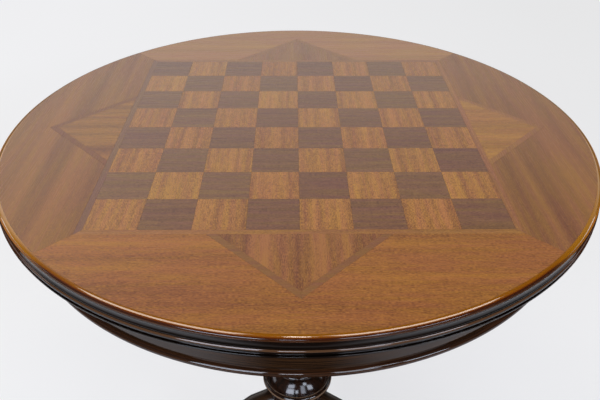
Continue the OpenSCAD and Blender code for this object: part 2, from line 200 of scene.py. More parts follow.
# %% [markdown]
# ## Levels and radii
# Each new piece has to meet its neighbours. The heights and radii where they meet could be typed in once
# more, but most are read from the construction model's boxes, so the two models don't drift apart.

# %% Levels of the top
def level(node, top=True):
    """Height of a node's upper or lower face, in millimetres."""
    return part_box(node)[1 if top else 0][2] / MM


def reach(node):
    """Largest radius of a round node, in millimetres."""
    return max(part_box(node)[1][:2]) / MM


GLUE = 0.05
top_z = level("light_squares")
veneer_z = level("light_squares", top=False)
lip_z = level("top_lipping", top=False)
under_z = level("edge_moulding", top=False)
top_r = reach("edge_moulding")
core_r = reach("top_core") + GLUE
print(f"top at {top_z:.1f} mm, edge radius {top_r:.1f} mm, edge {top_z - under_z:.1f} mm high")

# %% [markdown]
# ## The lipping
# A thin ring of wood is let in round the veneers and guards their edges. Its outside is crowned: it falls
# away slowly from the veneers, then turns down round a small corner. A plain quarter round would be
# easier, but the slow curve is what mirrors the ceiling lamps as long lines of light. The real ring is
# bent round the core in lengths, so a revolved profile is the honest way to draw it.

# %% Lipping
RIM_STEPS = 384
LIP_SET, LIP_W, LIP_TONGUE = 2.0, 3.8, 9.0   # behind the moulding, width in sight, length under the veneers
CROWN_R, CORNER_R = 7.0, 0.6
CROWN_ANGLE = 82   # degrees round the crown's circle where it meets the veneers; 90 would be level
lip_out = top_r - LIP_SET
veneer_r = lip_out - LIP_W
lip_in = veneer_r - LIP_TONGUE

at_veneer = math.radians(CROWN_ANGLE)
crown = (veneer_r - CROWN_R * math.cos(at_veneer), top_z - CROWN_R * math.sin(at_veneer))
crown_end = math.degrees(math.acos((lip_out - CORNER_R - crown[0]) / (CROWN_R - CORNER_R)))
corner = (lip_out - CORNER_R, crown[1] + (CROWN_R - CORNER_R) * math.sin(math.radians(crown_end)))
lipping = turned("lipping", "top_lipping", [
    (lip_in, lip_z), (lip_out, lip_z), arc(corner, CORNER_R, 0, crown_end, 12),
    arc(crown, CROWN_R, crown_end, CROWN_ANGLE, 24)[1:],
    (veneer_r, veneer_z), (lip_in, veneer_z)], ease=0.2, steps=RIM_STEPS)

# %% [markdown]
# ## The edge moulding
# Under the lipping a dark moulding stands out a little further. From the top down it has a band with a
# shallow hollow, a narrow quirk, a bead, a wider quirk and a square fillet. A moulding plane cuts all of
# them in one pass, so they are one profile here too.

# %% Edge moulding
BEAD_R, BEAD_SINK = 2.6, 0.2
BAND_H, BAND_SET, HOLLOW_H, HOLLOW_DEPTH = 7.0, 0.8, 6.2, 0.8
QUIRK_H, LOW_QUIRK_H, FILLET_SET = 0.5, 1.4, 0.2
hollow_r = (HOLLOW_H**2 / 4 + HOLLOW_DEPTH**2) / (2 * HOLLOW_DEPTH)
hollow_arc = math.degrees(math.asin(HOLLOW_H / 2 / hollow_r))
band_r = top_r - BAND_SET
band_z = lip_z - BAND_H
ground_r = top_r - BEAD_R + BEAD_SINK
fillet_r = top_r - FILLET_SET
bead_z = band_z - QUIRK_H - BEAD_R
fillet_z = bead_z - BEAD_R - LOW_QUIRK_H
hollow = (band_r - HOLLOW_DEPTH + hollow_r, lip_z - BAND_H / 2)
moulding = turned("edge_moulding_round", "edge_moulding", [
    (core_r, under_z), (fillet_r, under_z), (fillet_r, fillet_z), (ground_r, fillet_z),
    arc((top_r - BEAD_R, bead_z), BEAD_R, -85, 85),
    (ground_r, band_z), (band_r, band_z), arc(hollow, hollow_r, 180 + hollow_arc, 180 - hollow_arc, 14),
    (band_r, lip_z), (lip_in - GLUE, lip_z), (lip_in - GLUE, veneer_z), (core_r, veneer_z)],
    steps=RIM_STEPS)

# %% [markdown]
# ## The apron's skin
# The apron is built of bricks and faced with a bent dark veneer, and a half-round bead hides its lower
# edge. Both follow a circle, so both are turned profiles, with the bricks left as the construction model
# has them.

# %% Frieze and bead
SKIN_EASE = 0.3
apron_z = level("apron_bead", top=False)
frieze_z = level("frieze_veneer", top=False)
apron_r = reach("frieze_veneer")
brick_r = reach("apron_bricks") + GLUE
bead_half = (level("apron_bead") - apron_z) / 2
bead_axis = reach("apron_bead") - bead_half

frieze = turned("frieze_skin", "frieze_veneer", [
    (brick_r, frieze_z), (apron_r, frieze_z), (apron_r, under_z), (brick_r, under_z)],
    ease=SKIN_EASE, steps=RIM_STEPS)
lower_bead = turned("apron_bead_round", "apron_bead", [
    (brick_r, apron_z), arc((bead_axis, apron_z + bead_half), bead_half, -90, 90),
    (brick_r, apron_z + 2 * bead_half)], ease=SKIN_EASE, steps=RIM_STEPS)

# %% [markdown]
# ## The column's shaft
# The column is turned in four pieces on one tie rod. The shaft is a vase between two rings, with a flare
# under the top. One long cubic curve makes the vase, because a turner's gouge leaves no joints in it.
# Tenons and bores are drawn too, so that each piece is whole when it is taken out.

# %% Shaft
hub_z = level("leg_hub", top=False)
collar_z = level("column_collar", top=False)
dome_z = level("column_collar")
shaft_z = level("column_dome")
head_z = level("head_block", top=False)
BORE_R, TENON_R, SHAFT_TENON_R = 5.5, 20, 15
MORTISE, HEAD_TENON, TENON_GAP = 24, 22, 2
RING_R, RING_ARC = 5.5, 84.8

belly = bezier([(23, shaft_z + 18), (58, shaft_z + 70), (14, head_z - 150), (21, head_z - 62)],
               np.linspace(0, 1, 72))
flare = bezier([(24.5, head_z - 42), (24.5, head_z - 22), (29, head_z - 14), (38, head_z - 12)],
               np.linspace(0, 1, 20))
tenon_z = shaft_z - MORTISE + TENON_GAP
shaft = turned("shaft_turning", "column_shaft", [
    (BORE_R, tenon_z), (SHAFT_TENON_R, tenon_z), (SHAFT_TENON_R, shaft_z),
    (28, shaft_z), (28, shaft_z + 4), (26.5, shaft_z + 4),
    arc((26, shaft_z + 11), RING_R, -RING_ARC, RING_ARC), (26.5, shaft_z + 18),
    belly, (24, head_z - 62), arc((23.5, head_z - 53), RING_R, -RING_ARC, RING_ARC), (24, head_z - 45),
    (26, head_z - 45), (26, head_z - 42), flare, (39, head_z - 12), (40, head_z - 11), (40, head_z - 2),
    (38, head_z), (TENON_R, head_z), (TENON_R, head_z + HEAD_TENON), (BORE_R, head_z + HEAD_TENON)])

# %% [markdown]
# ## Dome, collar and hub
# Below the shaft come a dome, which is part of a ball with a bead round its neck, a half-round collar and
# the plain drum that holds the legs. The ball's centre follows from its radius and the dome's foot.

# %% Dome, collar and hub
DOME_R, DOME_FOOT, DOME_LEDGE, BALL_R, NECK_R = 44, 3, 1.5, 52, 32
NECK_BEAD, NECK_OUT, NECK_SINK = 4, 32.5, 0.6
FIT = 0.1
ball_z = dome_z + DOME_FOOT - math.sqrt(BALL_R**2 - DOME_R**2)
neck_z = ball_z + math.sqrt(BALL_R**2 - NECK_R**2)
ball_start, ball_end = (math.degrees(math.acos(r / BALL_R)) for r in (DOME_R, NECK_R))
bead_start = math.degrees(math.asin(NECK_SINK / NECK_BEAD - 1))
neck_centre = (NECK_OUT - NECK_BEAD, neck_z - NECK_SINK + NECK_BEAD)
dome = turned("dome_turning", "column_dome", [
    (BORE_R, collar_z - MORTISE), (TENON_R, collar_z - MORTISE), (TENON_R, dome_z),
    (DOME_R + DOME_LEDGE, dome_z), (DOME_R + DOME_LEDGE, dome_z + DOME_FOOT),
    arc((0, ball_z), BALL_R, ball_start, ball_end, 24),
    arc(neck_centre, NECK_BEAD, bead_start, 90, 28), (neck_centre[0], shaft_z),
    (SHAFT_TENON_R + FIT, shaft_z), (SHAFT_TENON_R + FIT, shaft_z - MORTISE), (BORE_R, shaft_z - MORTISE)])

collar_half = (dome_z - collar_z) / 2
collar_axis = reach("column_collar") - collar_half
collar = turned("collar_turning", "column_collar", [
    (TENON_R + FIT, collar_z), arc((collar_axis, collar_z + collar_half), collar_half, -90, 90, 32),
    (TENON_R + FIT, dome_z)])

HUB_R = reach("leg_hub")
NUT_WELL_R, NUT_WELL = 16, 14
socket_z = collar_z - MORTISE - 1
hub = turned("hub_turning", "leg_hub", [
    (NUT_WELL_R, hub_z), (HUB_R, hub_z), (HUB_R, collar_z), (TENON_R + FIT, collar_z),
    (TENON_R + FIT, socket_z), (BORE_R, socket_z), (BORE_R, hub_z + NUT_WELL),
    (NUT_WELL_R, hub_z + NUT_WELL)])

# %% [markdown]
# ## The shape of a leg
# A cabriole leg is sawn from a plank and shaped with a spokeshave: its centre line is an S, and its
# section goes from a deep oval at the hub, through a slim ankle, to a wide pad foot. It could be modelled
# by pulling points about. Here a section is carried along the line instead, so a few handles hold the
# whole shape. The first section is laid onto the hub's cylinder and the sole is flat, so the leg seats at
# both ends.

# %% Leg section along its line
LEG_TOP = collar_z - 5
LEG_MID = (LEG_TOP + hub_z) / 2
FOOT_MID, LEG_REACH, SOLE_Z = 15, 286, 4
LEG_LINE = [(30, LEG_MID), (150, LEG_MID + 16), (165, -FOOT_MID), (LEG_REACH, FOOT_MID)]
LEG_DEPTHS = [LEG_TOP - hub_z + 4, 95, 8, 30]
LEG_WIDTHS = [40, 44, 22, 30]
FOOT_W, FOOT_START, TOE_START, TOE_TIP = 52, 0.78, 0.93, 0.998
SECTION_POWER = 2.6
SEAT_GAP = 0.5


def leg_points(rows=120, toe_rows=30, columns=64):
    """A leg along +X in millimetres: a superellipse of changing depth and width, square to the centre line.

    Its depth and width follow cubic curves, the pad foot adds a smooth step in width, and towards the toe
    both shrink with a quarter circle. The first row that clears the hub is copied onto it, and the sole is
    levelled. The lengths along the line come with the points.
    """
    toe_t = TOE_START + (1 - TOE_START) * np.sin(np.linspace(0, math.pi / 2, toe_rows))
    t = np.concatenate([np.linspace(0, TOE_START, rows, endpoint=False), toe_t])
    line = bezier(LEG_LINE, t)
    slope = np.gradient(line, axis=0)
    up = np.stack([-slope[:, 1], slope[:, 0]], -1) / np.linalg.norm(slope, axis=1)[:, None]
    foot = np.clip((t - FOOT_START) / (TOE_START - FOOT_START), 0, 1)
    toe = np.sqrt(1 - (np.clip((t - TOE_START) / (1 - TOE_START), 0, 1) * TOE_TIP) ** 2)
    depth = bezier(LEG_DEPTHS, t) * toe
    width = (bezier(LEG_WIDTHS, t) + (FOOT_W - LEG_WIDTHS[3]) * foot**2 * (3 - 2 * foot)) * toe
    angle = np.linspace(0, 2 * math.pi, columns, endpoint=False)
    across, high = np.cos(angle), np.sin(angle)
    across = np.sign(across) * np.abs(across) ** (2 / SECTION_POWER)
    high = np.sign(high) * np.abs(high) ** (2 / SECTION_POWER)
    lift = high * depth[:, None] / 2
    y = across * width[:, None] / 2
    x = line[:, :1] + up[:, :1] * lift
    z = np.maximum(line[:, 1:] + up[:, 1:] * lift, SOLE_Z)
    first = np.argmax(x.min(1) > HUB_R + SEAT_GAP)
    shape = np.stack([x, y, z], -1)[first:]
    seat = np.stack([np.sqrt(HUB_R**2 - y[first] ** 2), y[first], z[first]], -1)
    run = np.cumsum(np.linalg.norm(np.diff(line[first - 1:], axis=0), axis=1))
    return np.concatenate([seat[None], shape]), np.concatenate([[0], run])


# %% [markdown]
# ## Three legs
# The legs stand a third of a turn apart, and the pedestal as a whole is turned by a few degrees, as in the
# picture. Each is the same grid, turned in its points and not in its object.

# %% Legs round the hub
LEG_TURN = -4
LEG_GIRTH = 0.12
LEG_ANGLES = {"leg_back": 90, "leg_front_left": 210, "leg_front_right": 330}

leg_shape, leg_run = leg_points()
leg_along = np.append(leg_run, leg_run[-1])[:, None] * MM
leg_around = np.linspace(0, LEG_GIRTH, leg_shape.shape[1] + 1)[None, :]
leg_uv = np.stack(np.broadcast_arrays(leg_along, leg_around), -1)
legs = []
for name, angle in LEG_ANGLES.items():
    turn = np.array(Matrix.Rotation(math.radians(angle + LEG_TURN), 3, "Z"))
    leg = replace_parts(grid_piece(name + "_shaped", leg_shape @ turn.T * MM, leg_uv, caps=True), name)
    legs.append(leg)
    print(f"{leg.name}: {volume(leg):.1f} cm3")

# %% [markdown]
# ## Nodes and colours
# All finishes are built from shader nodes. One small helper adds a node, sets its properties and fills its
# sockets: a value is set, and a socket of another node is linked. Shorter ones reckon, carry a value to
# another range, mix two colours and read one coordinate. Colours are written as they look on a screen, and
# one function turns them into the linear values that light is reckoned in.

# %% Node and colour helpers
def srgb(code):
    """Linear RGBA of a hex colour."""
    value = np.array([int(code[i:i + 2], 16) for i in (1, 3, 5)]) / 255
    linear = np.where(value <= 0.04045, value / 12.92, ((value + 0.055) / 1.055) ** 2.4)
    return (*linear, 1.0)


def fill(tree, node, sockets):
    """Fills a node's sockets: another node's output is linked, and a plain value is set."""
    for key, value in sockets.items():
        if isinstance(value, bpy.types.NodeSocket):
            tree.links.new(value, node.inputs[key])
        else:
            node.inputs[key].default_value = value


def add(tree, kind, sockets=None, stops=(), **settings):
    """One shader node with its settings and sockets.

    stops are the places of a colour ramp, each with a hex colour or a linear one.
    """
    node = tree.nodes.new("ShaderNode" + kind)
    for key, value in settings.items():
        setattr(node, key, value)
    fill(tree, node, sockets or {})
    if stops:
        elements = node.color_ramp.elements
        while len(elements) < len(stops):
            elements.new(0.5)
        for element, (place, colour) in zip(elements, stops):
            element.position = place
            element.color = srgb(colour) if isinstance(colour, str) else (*colour, 1.0)
    return node


def maths(tree, operation, *values):
    """Result of one Math node."""
    return add(tree, "Math", dict(enumerate(values)), operation=operation).outputs[0]


def remap(tree, value, source=(0, 1), target=(0, 1), **settings):
    """A value carried from one range to another and held there."""
    ends = {"From Min": source[0], "From Max": source[1], "To Min": target[0], "To Max": target[1]}
    return add(tree, "MapRange", {"Value": value, **ends}, **settings).outputs[0]


def mix(tree, part, colour, other):
    """A colour with a part of another mixed in."""
    return add(tree, "Mix", {0: part, 6: colour, 7: other}, data_type="RGBA").outputs[2]


def axis(tree, name):
    """One coordinate of the shaded point, in metres."""
    return add(tree, "SeparateXYZ", {0: add(tree, "TexCoord").outputs["Object"]}).outputs[name]


def new_material(name):
    """Empty node material with its output and one Principled shader."""
    material = bpy.data.materials.new(name)
    material.use_nodes = True
    tree = material.node_tree
    tree.nodes.clear()
    shader = add(tree, "BsdfPrincipled")
    add(tree, "OutputMaterial", {"Surface": shader.outputs[0]})
    return material, tree, shader


print("mid grey, linear:", round(srgb("#808080")[0], 3))

# %% [markdown]
# ## Wood grain in veneer
# Quarter-sawn mahogany shows ribbons: bands of lighter and darker wood along the grain, six to sixteen
# millimetres wide here, because its fibres lean one way and then the other. Fine fibres, a mottle and
# short dark pores lie inside the bands. All of them are noise, stretched along the grain to a length and a
# width in millimetres. A photograph of wood would repeat, and noise doesn't.

# %% Grain sizes and tones
RIBBON_L_MM = 450.0
FIBRE_MM, FIBRE_L_MM = 1.5, 30.0   # real fibres are finer; drawn coarser so that they show
FLECK_MM, FLECK_L_MM = 0.8, 2.4    # real vessels are 0.2 mm wide; drawn coarser for the same reason
MOTTLE_MM, MOTTLE_L_MM = 3.5, 9.0
TINT_MM, TINT_L_MM = 5.0, 60.0
CLOUD_MM, CLOUD_L_MM = 40.0, 150.0
FIBRE_PART, MOTTLE_PART, FLECK_PART, CLOUD_PART = 0.15, 0.35, 1.05, 0.7


def shades(code):
    """Three tones of one wood: darker ribbons lean to purple and lighter ones to gold."""
    mean = np.array(srgb(code)[:3])
    return [(0.0, mean * (0.60, 0.54, 0.66)), (0.5, mean), (1.0, mean * (1.38, 1.44, 1.28))]


def streaks(tree, grain, length_mm, width_mm):
    """Noise about zero, stretched along the grain."""
    scale = (1 / length_mm, 1 / width_mm, 1)
    stretched = add(tree, "Mapping", {"Vector": grain, "Scale": scale}).outputs[0]
    noise = add(tree, "TexNoise", {"Vector": stretched, "Scale": 1.0, "Detail": 1.0, "Roughness": 0.55},
                noise_dimensions="2D").outputs["Fac"]
    return maths(tree, "SUBTRACT", noise, 0.5)


print("drawn grain, mm:", FLECK_MM, "to", RIBBON_L_MM)

# %% [markdown]
# ## Satin varnished veneer
# The varnish is satin, so a bright room lies over it as a soft haze that grows towards the far side. Each
# sheet has its own grain direction. Each chess square is a separate cutting, so a random shift taken from
# the square's own place moves the pattern, the tone and the hue from one square to the next. Sixty-four
# materials could do that too, but one that knows the square's size is easier to change.

# %% Veneer finish
FRONT_DARK_Y, FRONT_PALE_Y = -0.26, -0.19
VENEER_GLOSS = (0.22, 0.30)
COOL, WARM = (0.985, 0.93, 1.13), (1.015, 1.07, 0.87)
RED_CUT, GOLD_CUT = (1.01, 0.975, 1.03), (0.99, 1.025, 0.96)


def veneer(name, code, along, ribbon_mm, ribbon, fine, cut=0.0, shift=0.0, spread=0.0, lift=0.0):
    """Varnished veneer of one mean colour, with its grain at an angle from X.

    ribbon and fine are the strengths of the bands and of what lies inside them. cut is the size of squares
    that are cut one by one, 0 for one sheet, and spread is how much their tones differ. shift moves the
    pattern. lift lightens the front sheet towards the board.
    """
    material, tree, shader = new_material(name)
    place = add(tree, "TexCoord").outputs["Object"]
    flat = add(tree, "Mapping", {"Vector": place, "Scale": (1000, 1000, 0),
                                 "Location": (shift, 2 * shift, 0)}).outputs[0]
    figure = 0.5
    if cut:
        cell = add(tree, "VectorMath", {0: place, 1: (1000 / cut, 1000 / cut, 0)}, operation="MULTIPLY")
        cell = add(tree, "VectorMath", {0: cell.outputs[0]}, operation="FLOOR").outputs[0]
        chance = add(tree, "TexWhiteNoise", {"Vector": cell}, noise_dimensions="3D").outputs
        flat = add(tree, "VectorMath", {0: chance["Color"], 1: (5000, 5000, 0), 2: flat},
                   operation="MULTIPLY_ADD").outputs[0]
        figure = remap(tree, chance["Value"], target=(0.5 - spread, 0.5 + spread))
    grain = add(tree, "Mapping", {"Vector": flat, "Rotation": (0, 0, -math.radians(along))}).outputs[0]

    fibres = streaks(tree, grain, FIBRE_L_MM, FIBRE_MM)
    flecks = streaks(tree, grain, FLECK_L_MM, FLECK_MM)
    ribbons = streaks(tree, grain, RIBBON_L_MM, ribbon_mm)
    mottle = streaks(tree, grain, MOTTLE_L_MM, MOTTLE_MM)
    for wave, strength in ((ribbons, ribbon), (fibres, FIBRE_PART * fine), (mottle, MOTTLE_PART * fine),
                           (flecks, FLECK_PART * fine)):
        figure = maths(tree, "MULTIPLY_ADD", wave, strength, figure)
    if lift:
        pale = remap(tree, axis(tree, "Y"), (FRONT_DARK_Y, FRONT_PALE_Y), (0, lift))
        figure = maths(tree, "ADD", figure, pale)
    colour = add(tree, "ValToRGB", {"Fac": figure}, shades(code)).outputs[0]

    tint = maths(tree, "ADD", streaks(tree, grain, TINT_L_MM, TINT_MM), 0.5)
    if not cut:
        cloud = streaks(tree, grain, CLOUD_L_MM, CLOUD_MM)
        tint = maths(tree, "MULTIPLY_ADD", cloud, CLOUD_PART, tint)
    tint = add(tree, "ValToRGB", {"Fac": tint}, [(0.3, COOL), (0.7, WARM)]).outputs[0]
    colour = add(tree, "VectorMath", {0: colour, 1: tint}, operation="MULTIPLY").outputs[0]
    if cut:
        hue = add(tree, "SeparateColor", {0: chance["Color"]}).outputs[0]
        hue = add(tree, "ValToRGB", {"Fac": hue}, [(0.0, RED_CUT), (1.0, GOLD_CUT)]).outputs[0]
        colour = add(tree, "VectorMath", {0: colour, 1: hue}, operation="MULTIPLY").outputs[0]

    gloss = remap(tree, fibres, (-0.3, 0.3), VENEER_GLOSS)
    bump = add(tree, "Bump", {"Strength": 0.05, "Distance": 0.0002, "Height": flecks}).outputs[0]
    fill(tree, shader, {"Base Color": colour, "Roughness": gloss, "Normal": bump})
    return material


# %% [markdown]
# ## The board and the star
# Light squares are cut with their grain away from the player and dark squares with it across, so light
# meets them differently. The surround's front and back quarters run left to right and its side quarters
# front to back. Every sheet comes from its own log, so each has its own tone, and some show more figure
# than others. The front quarter is a little lighter towards the board.

# %% Veneers of the top
def dress(material, *nodes):
    """Gives CAD nodes and new pieces a material."""
    for item in nodes:
        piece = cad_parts[item] if isinstance(item, str) else item
        if not piece.material_slots:
            piece.data.materials.append(material)
        for slot in piece.material_slots:
            slot.material = material
    print(material.name, "on", len(nodes))


ACROSS, AWAY = 0, 90
SQUARE_MM, SQUARE_SPREAD = 45.0, 0.08
SIDES = ("front", "right", "back", "left")
# one colour for each side, in the order of SIDES
SURROUND = ("#8d592b", "#865932", "#9c6d41", "#86582d")
STAR = ("#875731", "#9c6b34", "#895e38", "#88592a")
BORDER = ("#926235", "#906039", "#8c603c", "#75503a")
STRINGING = ("#805533", "#8f6038", "#8b5f37", "#78492a")
# strengths of the ribbons and of what lies inside them, for each side
SURROUND_FIGURE = ((0.95, 1.6), (0.95, 0.8), (0.4, 0.35), (0.95, 0.8))
STAR_FIGURE = ((1.9, 1.6), (0.7, 1.1), (0.6, 0.9), (1.2, 1.4))
FRONT_LIFT = 0.15
SHEET_STEP = 97   # millimetres of pattern from one side's sheet to the next

# light squares: gold ribbons away from the player
dress(veneer("light mahogany veneer, satin varnish", "#996735", AWAY, 8, 1.0, 1.9, SQUARE_MM,
             spread=SQUARE_SPREAD), "light_squares")
# dark squares: quieter, with short pores across
dress(veneer("dark walnut veneer, satin varnish", "#745037", ACROSS, 6, 0.55, 1.25, SQUARE_MM,
             spread=SQUARE_SPREAD), "dark_squares")
for i, side in enumerate(SIDES):
    across, away = (ACROSS, AWAY) if i % 2 == 0 else (AWAY, ACROSS)
    lift = FRONT_LIFT if side == "front" else 0.0
    moved = SHEET_STEP * i
    # surround: wide calm ribbons; star: the same wood turned, so that it shows lighter or darker
    dress(veneer(f"{side} surround mahogany veneer", SURROUND[i], across, 16, *SURROUND_FIGURE[i],
                 shift=300 + moved, lift=lift), f"surround_{side}")
    dress(veneer(f"{side} star mahogany veneer", STAR[i], away, 12, *STAR_FIGURE[i], shift=900 + moved),
          f"star_point_{side}")
    # border and stringing: thin lines that only have to part one field from the next
    dress(veneer(f"{side} border veneer", BORDER[i], across, 8, 0.6, 1.0, shift=500 + moved),
          f"border_strip_{side}")
    dress(veneer(f"{side} star stringing veneer", STRINGING[i], across, 12, 0.3, 0.5, shift=700 + moved),
          f"star_stringing_{side}")

# %% [markdown]
# ## Amber lipping
# The lipping is varnished amber on top. Dark stain is shaded in from below, so its colour goes from honey
# on the crown to a deep red-brown on the upright face. The ramp reads the height over the moulding. At the
# left and right ends painted light lifts the upright face to gold; in front it keeps the stain's red-brown.
# A hard coat of varnish lies over it and mirrors the lamps sharply.

# %% Lipping finish
ENDS_START, ENDS_FULL = 0.19, 0.245
LIP_STREAK_MM, LIP_STREAK_L_MM = 1.5, 60.0
LIT_ENDS_PART, LIP_STREAK_PART = 0.8, -0.12   # shares of the ends' painted light and of streaks in the height that the ramp reads
AMBER = [(0.0, "#2a0f06"), (0.40, "#3c1808"), (0.54, "#66310a"), (0.68, "#7c470a"), (0.9, "#834e0a")]
LIT_ENDS_GOLD = "#9e6810"


def ends_rubbed_and_lit(tree):
    """0 in front, 1 at the left and right ends, where the moulding is hand-browned and painted light lies.
    """
    across = maths(tree, "ABSOLUTE", axis(tree, "X"))
    return remap(tree, across, (ENDS_START, ENDS_FULL), interpolation_type="SMOOTHSTEP")


def lipping_finish():
    """Amber varnish over straight-grained wood, darkening down its face, with painted light that turns the
    ends gold.
    """
    material, tree, shader = new_material("amber varnished lipping")
    up = remap(tree, axis(tree, "Z"), (lip_z * MM, top_z * MM))
    # painted light: the left and right ends climb the ramp towards honey
    up = maths(tree, "MULTIPLY_ADD", ends_rubbed_and_lit(tree), LIT_ENDS_PART, up)
    scale = (1000 / LIP_STREAK_L_MM, 1000 / LIP_STREAK_MM, 1)
    unrolled = add(tree, "TexCoord").outputs["UV"]
    streak = add(tree, "Mapping", {"Vector": unrolled, "Scale": scale}).outputs[0]
    streak = add(tree, "TexNoise", {"Vector": streak, "Scale": 1.0, "Detail": 2.0},
                 noise_dimensions="2D").outputs["Fac"]
    up = maths(tree, "MULTIPLY_ADD", streak, LIP_STREAK_PART, up)
    colour = add(tree, "ValToRGB", {"Fac": up}, AMBER).outputs[0]
    # painted light: the left and right ends of the lipping turn gold
    colour = mix(tree, ends_rubbed_and_lit(tree), colour, srgb(LIT_ENDS_GOLD))
    gloss = remap(tree, streak, target=(0.06, 0.12))
    fill(tree, shader, {"Base Color": colour, "Roughness": gloss, "Specular IOR Level": 0.1,
                        "Coat Weight": 1.0, "Coat IOR": 1.75, "Coat Roughness": 0.08})
    return material


dress(lipping_finish(), lipping)

# %% [markdown]
# ## Dark stained wood
# The moulding, apron and column are stained nearly black and varnished to a gloss. A little red shows
# through where the stain is thin, in streaks along the grain, and the varnish has the faint ripple of a
# sprayed coat. Dusting rubs the stain off the bead's top first, so it gets a brown tone, with a painted
# warm highlight over it, and hands have browned and dulled the moulding at the left and right. Other
# heights carry painted light: the ledge and the strip under it are amber at the ends and darker in front,
# a pale line on the ledge's corner at the ends is a painted highlight, and pale rings on the collar and the
# dome's foot are painted reflections. Painting these marks by hand would tie them to one mesh. Reading
# them from height and place keeps them with the table.

# %% Dark finish
RIPPLE_MM = 11.1
BAND_SOFT = 0.15
HAND_BROWN, HAND_SHINE = "#43230f", 0.15


def rubbed_and_painted_band(tree, colour, low, high, front, side):
    """Another tone between two heights in millimetres, one in front and one at the sides.

    It serves for stain worn thin and for painted light, highlights and reflections.
    """
    height = axis(tree, "Z")
    low, high, soft = low * MM, high * MM, BAND_SOFT * MM
    rise = remap(tree, height, (low - soft, low + soft))
    fall = remap(tree, height, (high + soft, high - soft))
    part = maths(tree, "MULTIPLY", rise, fall)
    tone = mix(tree, ends_rubbed_and_lit(tree), srgb(front), srgb(side))
    return mix(tree, part, colour, tone)


def dark_wood(name, coordinates, grain_mm, deep="#120a06", red="#26140b", roughness=(0.06, 0.12),
              rub_and_light_bands=(), hands=False, shine=0.5):
    """Stained wood: streaks, whose sizes along the three axes are grain_mm, under rippled varnish.

    coordinates is UV where the grain follows the piece, or Object. worn lists heights with their tones in
    front and at the sides: stain worn thin, painted light and painted reflections. hands browns and dulls
    the left and right.
    """
    material, tree, shader = new_material(name)
    place = add(tree, "TexCoord").outputs
    scale = [1000 / size for size in grain_mm]
    streak = add(tree, "Mapping", {"Vector": place[coordinates], "Scale": scale}).outputs[0]
    streak = add(tree, "TexNoise", {"Vector": streak, "Scale": 1.0, "Detail": 4.0,
                                    "Distortion": 0.3}).outputs["Fac"]
    stain = [(0.35, deep), (0.5, red), (0.62, deep), (0.75, red)]
    colour = add(tree, "ValToRGB", {"Fac": streak}, stain).outputs[0]
    gleam = shine
    if hands:
        touched = ends_rubbed_and_lit(tree)
        colour = mix(tree, touched, colour, srgb(HAND_BROWN))
        gleam = remap(tree, touched, target=(shine, HAND_SHINE))
    for mark in rub_and_light_bands:
        colour = rubbed_and_painted_band(tree, colour, *mark)
    gloss = remap(tree, streak, target=roughness)
    ripple = add(tree, "TexNoise", {"Vector": place["Object"], "Scale": 1000 / RIPPLE_MM,
                                    "Detail": 1.0}).outputs["Fac"]
    bump = add(tree, "Bump", {"Strength": 0.06, "Distance": 0.0006, "Height": ripple}).outputs[0]
    fill(tree, shader, {"Base Color": colour, "Roughness": gloss, "Specular IOR Level": gleam,
                        "Normal": bump})
    return material


print("rubbed edges fade over", 2 * BAND_SOFT, "mm")

# %% [markdown]
# ## The dark pieces
# One finish serves them all, with a tone and a gloss for each. The moulding is the blackest. The apron and
# its bead let more brown through. Moulding and bead are polished, and the legs have a softer, satin coat.

# %% Dark pieces
BENT_GRAIN = (125, 2.5, 1000)    # UV along, UV across; the third axis has no part in a flat map
TURNED_GRAIN = (8.33, 8.33, 143)
LEG_GRAIN = (125, 3.85, 1000)
POLISHED = (0.03, 0.07)
# heights from and to, then the tone in front and at the sides
# painted light: the ledge and the strip under it turn amber at the ends and stay darker in front
EDGE_RUBS_AND_PAINTED_LIGHT = [(lip_z - 0.3, lip_z + 0.5, "#40220e", "#9a5e0e"),
              (lip_z - 1.2, lip_z - 0.3, "#140a06", "#9a5e0e"),
              # painted highlight: a pale line along the ledge's corner at the ends
              (lip_z - 1.9, lip_z - 1.2, "#140a06", "#c0a48a"),
              # the bead's top: stain rubbed thin to brown, with a painted warm highlight over it
              (bead_z + 0.6, bead_z + 2, "#4c3320", "#43230f")]
# painted reflections: pale rings on the collar and on the dome's foot
TURNED_PAINTED_REFLECTIONS = [(collar_z + 6.5, collar_z + 9, "#634830", "#634830"),
                (dome_z + 0.8, dome_z + 2.6, "#54402f", "#54402f")]

# black under gloss: what the eye sees is the floor and the windows in it
dress(dark_wood("black stained edge moulding, gloss varnish", "UV", BENT_GRAIN, "#080503", "#140a06",
                POLISHED, rub_and_light_bands=EDGE_RUBS_AND_PAINTED_LIGHT, hands=True), moulding)
# brown-black face on which the grain just shows
dress(dark_wood("dark stained apron veneer, gloss varnish", "UV", BENT_GRAIN, "#1a0f08", "#35200f",
                shine=0.4), frieze)
# warm brown line with a sharp highlight
dress(dark_wood("brown stained bead, gloss varnish", "UV", BENT_GRAIN, "#24140b", "#3e2414", POLISHED),
      lower_bead)
# dark bulbs that mirror the window panes, with pale rings painted as reflections on the collar and dome
dress(dark_wood("dark stained turning, gloss varnish", "Object", TURNED_GRAIN, roughness=(0.10, 0.14),
                rub_and_light_bands=TURNED_PAINTED_REFLECTIONS), shaft, dome, collar, hub)
# soft brown sheen along the knees
dress(dark_wood("dark stained leg, satin varnish", "UV", LEG_GRAIN, "#1e120b", "#342012", (0.24, 0.32)),
      *legs)

# %% [markdown]
# ## Plain wood under the top
# Nobody sees the underside, so its wood is planed and left bare: softwood for the core, bricks and glue
# blocks, beech for the bearers and head block. Growth rings show as long soft bands on a planed face, so
# noise stretched along one axis is enough.

# %% Bare wood
RING_STRETCH, FIBRE_STRETCH = 25, 20


